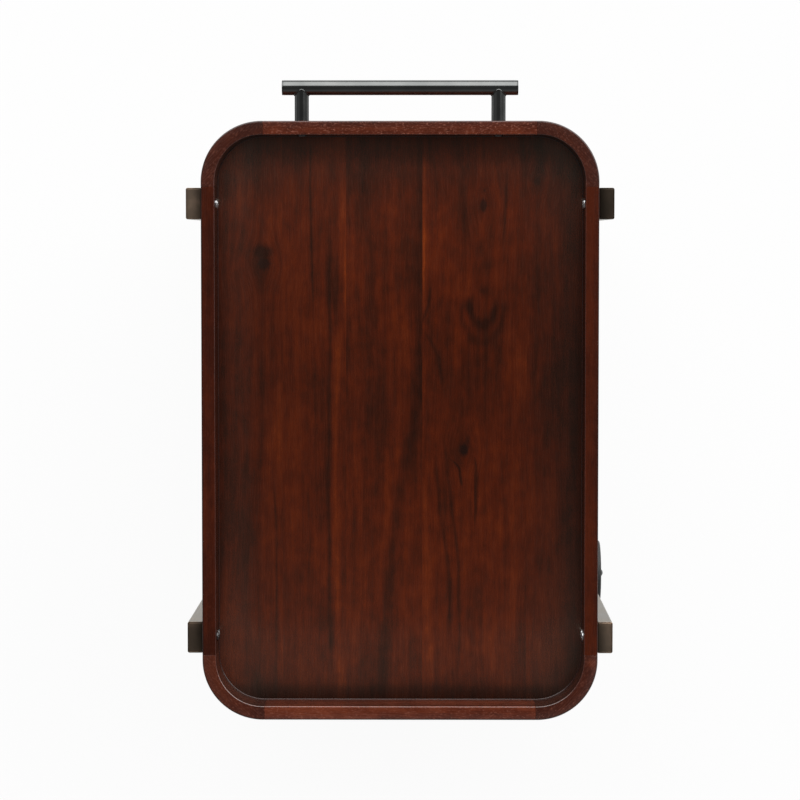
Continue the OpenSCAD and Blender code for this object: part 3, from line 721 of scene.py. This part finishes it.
def moulded_finish(name, dark, light, smooth, rough):
    """Moulded plastic or rubber: a fine matt grain and slight changes of shade."""
    s = Finish(name)
    where = s.join(*s.place())
    fine = s.noise(where, scale=1400.0)
    cloud = s.noise(where, scale=40.0)
    return s.set(Base_Color=s.ramp(cloud, (0.3, dark), (0.7, light)),
                 Roughness=s.scaled(fine, rough - smooth, smooth),
                 Normal=s.bump(fine, 0.05 * MM, 0.5))


def key_finish():
    """Bare hardwood of the loose tongues inside the trays' corners."""
    s = Finish("key_bare_wood")
    x, y, z = s.place()
    grain = s.noise(s.join(s.scaled(x, 600.0), s.scaled(y, 600.0), s.scaled(z, 30.0)), detail=3.0)
    return s.set(Base_Color=s.ramp(grain, *BARE_WOOD), Roughness=0.7)


# Meshes

def surface(name, points, close_rows=False, close_columns=False, caps=False):
    """Mesh on a grid of points (rows, columns, 3). Each cell is a quad, either way may close on
    itself, and caps fills the loops of the first and last rows."""
    rows, columns = points.shape[:2]
    index = np.arange(rows * columns).reshape(rows, columns)
    if close_rows:
        index = np.vstack([index, index[:1]])
    if close_columns:
        index = np.hstack([index, index[:, :1]])
    quads = np.stack([index[:-1, :-1], index[:-1, 1:], index[1:, 1:], index[1:, :-1]], -1)
    faces = quads.reshape(-1, 4).tolist()
    if caps:
        faces += [index[0, :columns].tolist(), index[rows - 1, :columns][::-1].tolist()]
    mesh = bpy.data.meshes.new(name)
    mesh.from_pydata(points.reshape(-1, 3).tolist(), [], faces)
    work = bmesh.new()
    work.from_mesh(mesh)
    bmesh.ops.recalc_face_normals(work, faces=work.faces)
    work.to_mesh(mesh)
    work.free()
    return mesh


def add_piece(name, mesh, material, node, stands_in=True):
    """Puts a finished mesh into the scene on its node's body, in place of that node."""
    mesh.shade_smooth()
    mesh.set_sharp_from_angle(angle=math.radians(SHARP))
    mesh.materials.clear()
    mesh.materials.append(material)
    piece = bpy.data.objects.new(name, mesh)
    bpy.context.scene.collection.objects.link(piece)
    even = piece.modifiers.new("even_normals", "WEIGHTED_NORMAL")
    even.keep_sharp = True
    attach(piece, body_of(NODES[node])[0])
    if stands_in:
        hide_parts(node)
    return piece


def round_angles(steps):
    """Angles of so many equal steps round a circle, in radians."""
    return np.linspace(0, 2 * np.pi, steps, endpoint=False)


def arc(cx, cy, r, start, end, steps=6):
    """Points on a circle about (cx, cy): (cx + r cos a, cy + r sin a), a from start to end."""
    a = np.radians(np.linspace(start, end, steps + 1))
    return np.stack([cx + r * np.cos(a), cy + r * np.sin(a)], 1)


def round_rectangle(wide, long, r, steps=6):
    """Outline of a rectangle with round corners about the origin: four quarter circles, each
    about a point r in from both sides."""
    x, y = wide / 2 - r, long / 2 - r
    return np.concatenate([arc(x, y, r, 0, 90, steps), arc(-x, y, r, 90, 180, steps),
                           arc(-x, -y, r, 180, 270, steps), arc(x, -y, r, 270, 360, steps)])


def inset(loop, by):
    """A closed outline drawn in by a distance: each point moves along the mean of its two
    sides' inward normals, longer at a sharp corner so that both sides move by the distance."""
    following = np.roll(loop, -1, 0)
    side = following - loop
    side /= np.linalg.norm(side, axis=1, keepdims=True)
    normal = np.stack([-side[:, 1], side[:, 0]], 1)
    if np.sum(loop[:, 0] * following[:, 1] - loop[:, 1] * following[:, 0]) < 0:
        normal = -normal
    before = np.roll(normal, 1, 0)
    share = 1 + np.sum(normal * before, axis=1, keepdims=True)
    return loop + by * (normal + before) / share


def wall_section():
    """Section of a tray's wall as (inward, up) points: round edges, the rubbed inner one of the
    top the sharpest, and the panel's groove."""
    r, a, w, h = EDGE_R, ARRIS_R, WALL_T, WALL_H
    low, high, bottom = UNDER_PANEL, UNDER_PANEL + PANEL_T, WALL_T - GROOVE_D
    groove = [(w, high), (bottom, high), (bottom, low), (w, low)]
    return np.concatenate([arc(r, h - r, r, 180, 90), arc(w - a, h - a, a, 90, 0), groove,
                           arc(w - r, r, r, 0, -90), arc(r, r, r, 270, 180)])


def wall_along(name, path, inward, foot_z):
    """A tray wall: its section carried along a path in plan, each point at path + inward * d
    and up from the foot. The first and last sections are drawn in, so that a seam shows."""
    section = wall_section()
    step = path[[1, -2]] - path[[0, -1]]
    step *= SEAM_INSET / np.linalg.norm(step, axis=1, keepdims=True)
    ends = path[[0, -1]] + step
    path = np.concatenate([path[:1], ends[:1], path[1:-1], ends[1:], path[-1:]])
    inward = np.concatenate([inward[:1], inward, inward[-1:]])
    sections = np.repeat(section[None], len(path), 0)
    sections[[0, -1]] = inset(section, SEAM_INSET)
    points = np.empty((len(path), len(section), 3))
    points[..., :2] = path[:, None] + inward[:, None] * sections[..., :1]
    points[..., 2] = foot_z + sections[..., 1]
    return surface(name, points, close_columns=True, caps=True)


def straight_path(start, end, inward):
    """Plan of a rail's outer face, with the direction inward at both its ends."""
    return np.array([start, end], float), np.array([inward, inward], float)


def corner_path(side, end):
    """Plan of a corner block's outer face: tail, quarter circle and tail."""
    centre = np.array([TRAY_W / 2 - CORNER_R, TRAY_L / 2 - CORNER_R])
    out = arc(0, 0, 1, 0, 90, BLOCK_STEPS)
    path = centre + CORNER_R * out
    path = np.concatenate([path[:1] - [[0, CORNER_TAIL]], path, path[-1:] - [[END_TAIL, 0]]])
    inward = -np.concatenate([out[:1], out, out[-1:]])
    return path * (side, end) + (0, TRAY_Y), inward * (side, end)


def add_walls(tray):
    """Four rails and four corner blocks of a tray."""
    half_w, half_l = TRAY_W / 2, TRAY_L / 2
    paths = {}
    for side, sign in SIDES.items():
        x, run = sign * half_w, half_l - SEAM_IN
        paths[f"rail_{side}"] = straight_path((x, TRAY_Y - run), (x, TRAY_Y + run), (-sign, 0))
    for end, sign in ENDS.items():
        y, run = TRAY_Y + sign * half_l, half_w - CORNER_R - END_TAIL
        paths[f"rail_{end}_end"] = straight_path((-run, y), (run, y), (0, -sign))
        for side, turned in SIDES.items():
            paths[f"corner_{end}_{side}"] = corner_path(turned, sign)
    for place, (path, inward) in paths.items():
        name = f"{tray}_{place}_wall"
        mesh = wall_along(name, path, inward, FOOT_Z[tray])
        add_piece(name, mesh, wall_wood(tray, place), f"{tray}_{place}")


def add_lacquer_line(tray):
    """The thin fillet of lacquer where the panel meets the wall: a hollow quarter round carried
    round the tray's inner outline."""
    outline = round_rectangle(TRAY_W - 2 * WALL_T, TRAY_L - 2 * WALL_T, CORNER_R - WALL_T,
                              LACQUER_STEPS)
    side = np.roll(outline, -1, 0) - np.roll(outline, 1, 0)
    side /= np.linalg.norm(side, axis=1, keepdims=True)
    inward = np.stack([-side[:, 1], side[:, 0]], 1)
    section = np.concatenate([arc(FILLET_R, FILLET_R, FILLET_R, 180, 270, 5),
                              [(-FILLET_SINK, -FILLET_SINK)]])
    points = np.empty((len(outline), len(section), 3))
    points[..., :2] = outline[:, None] + inward[:, None] * section[None, :, :1] + (0, TRAY_Y)
    points[..., 2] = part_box(f"{tray}_board_3")[1].z + section[:, 1]
    name = f"{tray}_lacquer_line"
    mesh = surface(name, points, close_rows=True, close_columns=True)
    add_piece(name, mesh, LACQUER, f"{tray}_board_3", stands_in=False)


def add_legs():
    """Legs of rectangular tube: the outline drawn in by the lip profile's depth at each height,
    up the outside, over the rounded lip and down the inside."""
    lip, wall = LEG_LIP, LEG_WALL
    for node in (f"leg_{end}_{side}" for end in ENDS for side in SIDES):
        low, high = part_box(node)
        centre, size = middle_of(node), size_of(node)
        profile = [(lip, low.z), (0, low.z + lip), (0, high.z - lip),
                   (0.3 * lip, high.z - 0.3 * lip), (lip, high.z), (wall - lip, high.z),
                   (wall, high.z - lip), (wall, low.z + lip), (wall - lip, low.z)]
        rows = []
        for depth, z in profile:
            outline = round_rectangle(size.x - 2 * depth, size.y - 2 * depth, LEG_ROUND - depth)
            rows.append(np.column_stack([outline + (centre.x, centre.y), np.full(len(outline), z)]))
        mesh = surface(f"{node}_tube", np.array(rows), close_rows=True, close_columns=True)
        add_piece(f"{node}_tube", mesh, LEG, node)


def lathe_x(name, profile, centre, steps):
    """A closed profile of (x, r) points turned about the line along X through centre: each
    point goes round as (x, r cos a, r sin a)."""
    profile = np.array(profile)
    a = round_angles(steps)
    points = np.empty((len(profile), steps, 3))
    points[..., 0] = profile[:, :1]
    points[..., 1] = centre.y + profile[:, 1:] * np.cos(a)
    points[..., 2] = centre.z + profile[:, 1:] * np.sin(a)
    return surface(name, points, close_rows=True, close_columns=True)


def add_post(node, bar, bar_r):
    """A post of the handle, and the weld round it. The post is a circle of radius r carried from
    its rounded foot to the bar, where the point at angle a stops at bar_y - sqrt(bar_r^2 -
    (r sin a)^2). The weld is a bead round that line, its radius rippled by a sine of a."""
    low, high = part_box(node)
    x, r = middle_of(node).x, (high.x - low.x) / 2
    a = round_angles(RING)
    across, up = np.cos(a), np.sin(a)
    saddle_y = bar.y - np.sqrt(bar_r ** 2 - (r * up) ** 2)
    rows = [np.column_stack([x + (r - inside) * across, np.full(RING, low.y + along),
                             bar.z + (r - inside) * up]) for inside, along in POST_FOOT]
    rows.append(np.column_stack([x + r * across, saddle_y, bar.z + r * up]))
    mesh = surface(f"{node}_rod", np.array(rows), close_columns=True, caps=True)
    add_piece(f"{node}_rod", mesh, POST, node)
    b = round_angles(BEAD_RING)[:, None]
    bead = BEAD_R + RIPPLE_H * np.sin(RIPPLES * a)
    out = r + bead * np.cos(b)
    rows = np.stack([x + out * across, saddle_y - bead * np.sin(b), bar.z + out * up], -1)
    mesh = surface(f"{node}_weld", rows, close_rows=True, close_columns=True)
    add_piece(f"{node}_weld", mesh, POST, node, stands_in=False)


def add_handle():
    """Pull bar of tube with rounded ends, on its two coped posts."""
    low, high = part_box("handle_bar")
    bar, r = middle_of("handle_bar"), (high.y - low.y) / 2
    profile = [(low.x, r - BAR_LIP), (low.x + BAR_LIP, r), (high.x - BAR_LIP, r),
               (high.x, r - BAR_LIP), (high.x, r - BAR_WALL), (low.x, r - BAR_WALL)]
    mesh = lathe_x("handle_bar_tube", profile, bar, RING)
    add_piece("handle_bar_tube", mesh, HANDLE, "handle_bar")
    for side in SIDES:
        add_post(f"handle_post_{side}", bar, r)


def add_tyres():
    """Tyres turned from a section with a recessed side, a round shoulder and a groove towards
    each side of the tread; the second half is the first one mirrored."""
    for side in SIDES:
        node = f"tyre_{side}"
        low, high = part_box(node)
        x, w, r = low.x, high.x - low.x, (high.z - low.z) / 2
        seat, shoulder = r - TYRE_DEPTH + TYRE_PLAY, r - TYRE_ROUND
        # From the seat on the hub up: bead, recess, shoulder, then the groove and the tread
        wall = [(x, seat), (x, seat + 1.2 * MM), (x + TYRE_RECESS, seat + 1.6 * MM),
                (x + TYRE_RECESS, shoulder - 0.8 * MM), (x, shoulder - 0.3 * MM)]
        turn = arc(x + TYRE_ROUND, shoulder - 0.2 * MM, TYRE_ROUND, 180, 100, 8)
        tread = [(x + 0.30 * w, r - 0.05 * MM), (x + 0.32 * w, r - TREAD_GROOVE),
                 (x + 0.34 * w, r - TREAD_GROOVE), (x + 0.36 * w, r)]
        half = np.concatenate([wall, turn, tread])
        profile = np.concatenate([half, half[::-1] * (-1, 1) + (low.x + high.x, 0)])
        mesh = lathe_x(f"{node}_rubber", profile, middle_of(node), TYRE_RING)
        add_piece(f"{node}_rubber", mesh, TYRE, node)


def add_dressed(node, material, edge):
    """A CAD node's shape with its sharp edges rounded by a bevel."""
    mesh = NODES[node].data.copy()
    work = bmesh.new()
    work.from_mesh(mesh)
    bmesh.ops.remove_doubles(work, verts=work.verts, dist=SAME_POINT)
    bmesh.ops.dissolve_limit(work, angle_limit=math.radians(FLAT), verts=work.verts,
                             edges=work.edges)
    work.to_mesh(mesh)
    work.free()
    mesh.name = f"{node}_finished"
    piece = add_piece(f"{node}_finished", mesh, material, node)
    bevel = piece.modifiers.new("edge", "BEVEL")
    bevel.width, bevel.segments = edge, 2
    bevel.limit_method, bevel.angle_limit = "ANGLE", math.radians(BEVELLED)
    piece.modifiers.move(1, 0)


def stain_board(node, wood):
    """Gives a CAD node's own mesh its wood."""
    slots = NODES[node].data.materials
    slots.clear()
    slots.append(wood)


# Camera, light and floor

def add_camera():
    """Camera above the cart and a little towards the handle, whose end is up in the picture."""
    data = bpy.data.cameras.new("camera")
    data.sensor_width = SENSOR_MM
    data.lens = SENSOR_MM * FOCAL_PX / IMAGE_PX
    data.clip_start, data.clip_end = 0.05, 60.0
    camera = bpy.data.objects.new("camera", data)
    bpy.context.scene.collection.objects.link(camera)
    back = (CAMERA_AT - CAMERA_AIM).normalized()
    right = Vector((0, 1, 0)).cross(back).normalized()
    turn = Matrix((right, back.cross(right), back)).transposed()
    camera.matrix_world = Matrix.Translation(CAMERA_AT) @ turn.to_4x4()
    bpy.context.scene.camera = camera


def add_studio():
    """World: a broad softbox behind the handle, from 30 degrees off the zenith down to the floor
    and with soft edges, and a fill that is faint overhead. The camera sees white."""
    world = bpy.data.worlds.new("studio")
    bpy.context.scene.world = world
    world.use_nodes = True
    world.node_tree.nodes.clear()
    g = Graph(world.node_tree)
    x, y, z = g.split(g.node("TexCoord").outputs["Generated"])
    bearing = math.radians(SOFTBOX_BEARING)
    ahead = g.add(g.scaled(x, math.sin(bearing)), g.scaled(y, math.cos(bearing)))
    # The length of a direction's level part, kept off 0, which would divide by nothing overhead
    level = g.math("SQRT", g.math("MAXIMUM", g.scaled(g.times(z, z), -1.0, 1.0), 0.0001))
    box = g.times(g.fade(g.math("DIVIDE", ahead, level), *SOFTBOX_EDGE), g.fade(z, *SOFTBOX_TOP))
    fill = g.fade(z, *FILL_HEIGHTS, FILL_ABOVE, FILL_LOW)
    light = g.add(g.scaled(box, SOFTBOX), fill)
    studio = g.node("Background", Color=grey(1), Strength=light)
    white = g.node("Background", Color=grey(1), Strength=1.0)
    seen = g.node("LightPath").outputs["Is Camera Ray"]
    both = g.node("MixShader", i0=seen, i1=studio.outputs[0], i2=white.outputs[0])
    world.node_tree.links.new(both.outputs[0], g.node("OutputWorld").inputs["Surface"])


def add_floor():
    """White floor, plain white for the camera and in reflections but for a share of its own
    shading, which keeps the cart's shadow."""
    mesh = bpy.data.meshes.new("floor")
    h = FLOOR_HALF
    mesh.from_pydata([(-h, -h, 0), (h, -h, 0), (h, h, 0), (-h, h, 0)], [], [(0, 1, 2, 3)])
    floor = bpy.data.objects.new("floor", mesh)
    bpy.context.scene.collection.objects.link(floor)
    s = Finish("floor_white")
    s.set(Base_Color=grey(FLOOR_SHADE), Roughness=0.9, Specular_IOR_Level=0.0)
    glow = s.node("Emission", Color=grey(1), Strength=1.0)
    rays = s.node("LightPath").outputs
    seen = s.add(rays["Is Camera Ray"], rays["Is Glossy Ray"], rays["Is Transmission Ray"])
    share = s.scaled(s.math("MINIMUM", seen, 1.0), FLOOR_GLOW)
    both = s.node("MixShader", i0=share, i1=s.surface.outputs[0], i2=glow.outputs[0])
    s.tree.links.new(both.outputs[0], s.tree.nodes["Material Output"].inputs["Surface"])
    mesh.materials.append(s.material)


add_camera()
add_studio()
add_floor()
bpy.context.scene.view_settings.view_transform = "Standard"

LEG = leg_finish()
HANDLE = handle_finish("handle_black_nickel", 1.0)
# The posts' copy keeps a tenth of its colour edge on: painted shade that keeps their sides dark
POST = handle_finish("post_black_nickel", 0.1)
ZINC = zinc_finish("zinc_plate")
SCREW = zinc_finish("screw_zinc", shaded_screws=True)
PLUG = moulded_finish("plug_black", grey(0.012), grey(0.02), 0.5, 0.65)
NYLON = moulded_finish("nylon_natural", (0.62, 0.60, 0.54, 1), (0.70, 0.68, 0.62, 1), 0.4, 0.5)
HUB = moulded_finish("hub_black", grey(0.020), grey(0.028), 0.4, 0.55)
TYRE = moulded_finish("tyre_rubber", (0.013, 0.013, 0.012, 1), (0.022, 0.021, 0.020, 1), 0.5, 0.7)
KEY = key_finish()
LACQUER = moulded_finish("lacquer_line", linear(42, 17, 11), linear(52, 22, 15), 0.15, 0.25)

add_walls("top")
add_walls("lower")
for number in range(1, len(TOP_BOARDS) + 1):
    stain_board(f"top_board_{number}", top_board(number))
    stain_board(f"lower_board_{number}", lower_board(number))
add_lacquer_line("top")
add_lacquer_line("lower")
add_legs()
add_handle()
add_tyres()

# Small pieces keep their CAD shape, with their edges rounded by so many millimetres
DRESSED = {
    "leg_caps": (LEG, 0.2), "handle_bar_caps": (HANDLE, 0.5), "top_leg_screws": (SCREW, 0.15),
    "lower_leg_screws": (ZINC, 0.15), "handle_screws": (SCREW, 0.15), "top_leg_nuts": (ZINC, 0.2),
    "lower_leg_nuts": (ZINC, 0.2), "axle": (ZINC, 0.5), "leg_washers": (ZINC, 0.3),
    "nut_washers": (ZINC, 0.2), "cap_nut_left": (HANDLE, 0.3), "cap_nut_right": (HANDLE, 0.3),
    "glide_left": (PLUG, 0.4), "glide_right": (PLUG, 0.4), "leg_plug_left": (PLUG, 0.4),
    "leg_plug_right": (PLUG, 0.4), "axle_bush_left": (NYLON, 0.3), "axle_bush_right": (NYLON, 0.3),
    "hub_sleeve_left": (NYLON, 0.2), "hub_sleeve_right": (NYLON, 0.2), "wheel_hub_left": (HUB, 0.5),
    "wheel_hub_right": (HUB, 0.5), "top_corner_keys": (KEY, 0.3), "lower_corner_keys": (KEY, 0.3),
}
for node, (material, edge) in DRESSED.items():
    add_dressed(node, material, edge * MM)
